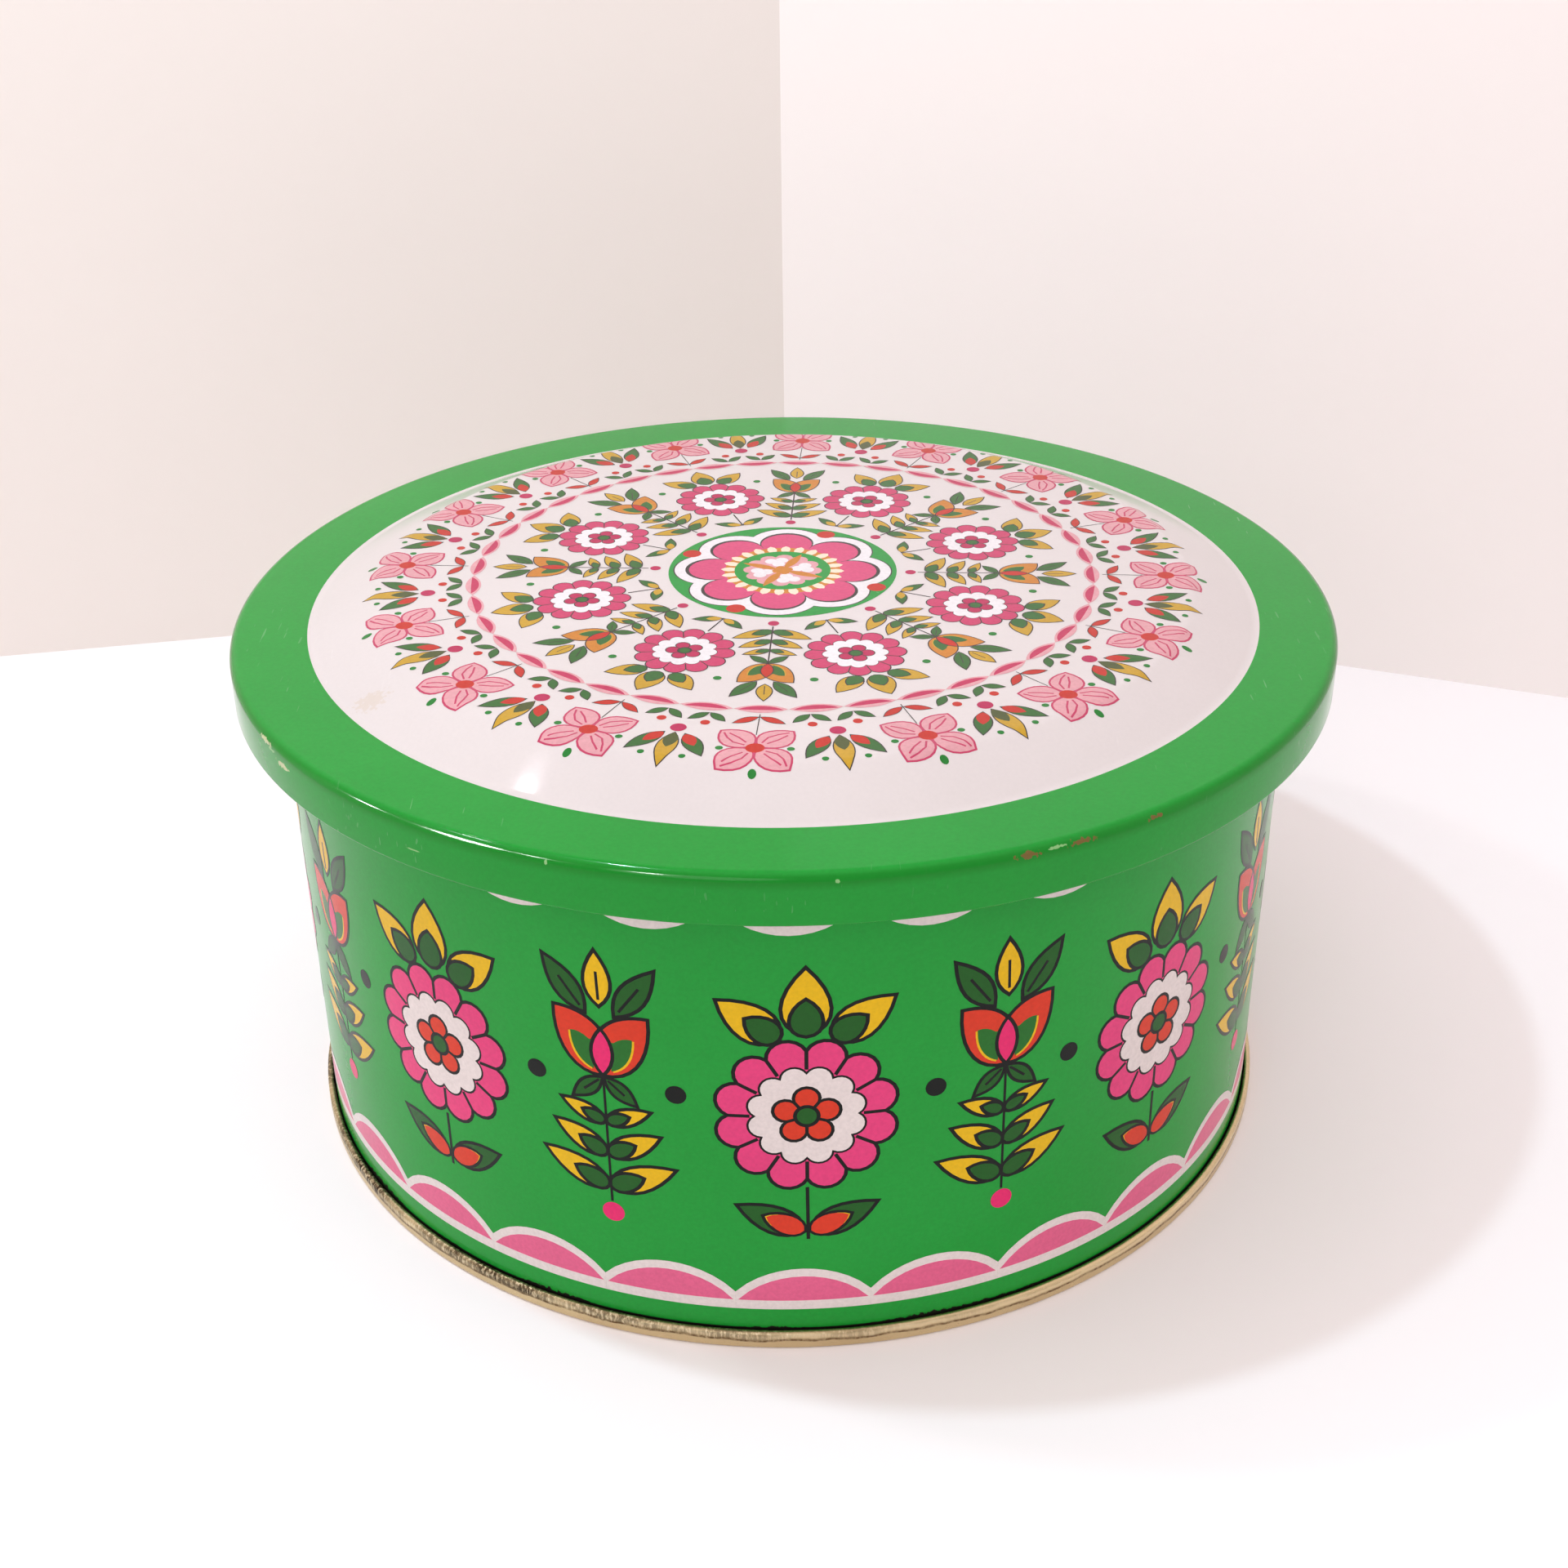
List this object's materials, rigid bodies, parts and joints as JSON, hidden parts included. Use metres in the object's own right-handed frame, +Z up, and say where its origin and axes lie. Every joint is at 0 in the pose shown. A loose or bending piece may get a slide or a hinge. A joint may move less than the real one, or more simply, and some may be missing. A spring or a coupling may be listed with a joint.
{
  "type": "bobbin box",
  "caption": "Round tinplate bobbin box with a slip-on lid over a curled mouth and a double-seamed base, printed all round with a folk-style flower pattern.",
  "frame": {"origin": "centre of the foot of the base seam, on the plane that the box stands on", "axes": "+Z up along the box's axis, -Y towards the front, the side seam at +Y"},
  "size_m": [0.19, 0.19, 0.0967],
  "materials": {
    "lid_lacquer": "printed tinplate, green and white gloss lacquer",
    "wall_lacquer": "printed tinplate, green gloss lacquer",
    "gold_lacquer": "tinplate under worn gold lacquer"
  },
  "bodies": {
    "tin": {"body_wall": "wall_lacquer", "base_plate": "gold_lacquer"},
    "lid": {"lid": "lid_lacquer"}
  },
  "joints": [
    {"name": "lid_lift", "type": "slide", "parent": "tin", "child": "lid", "axis": [0, 0, 1], "range_m": [0, 0.12]}
  ]
}
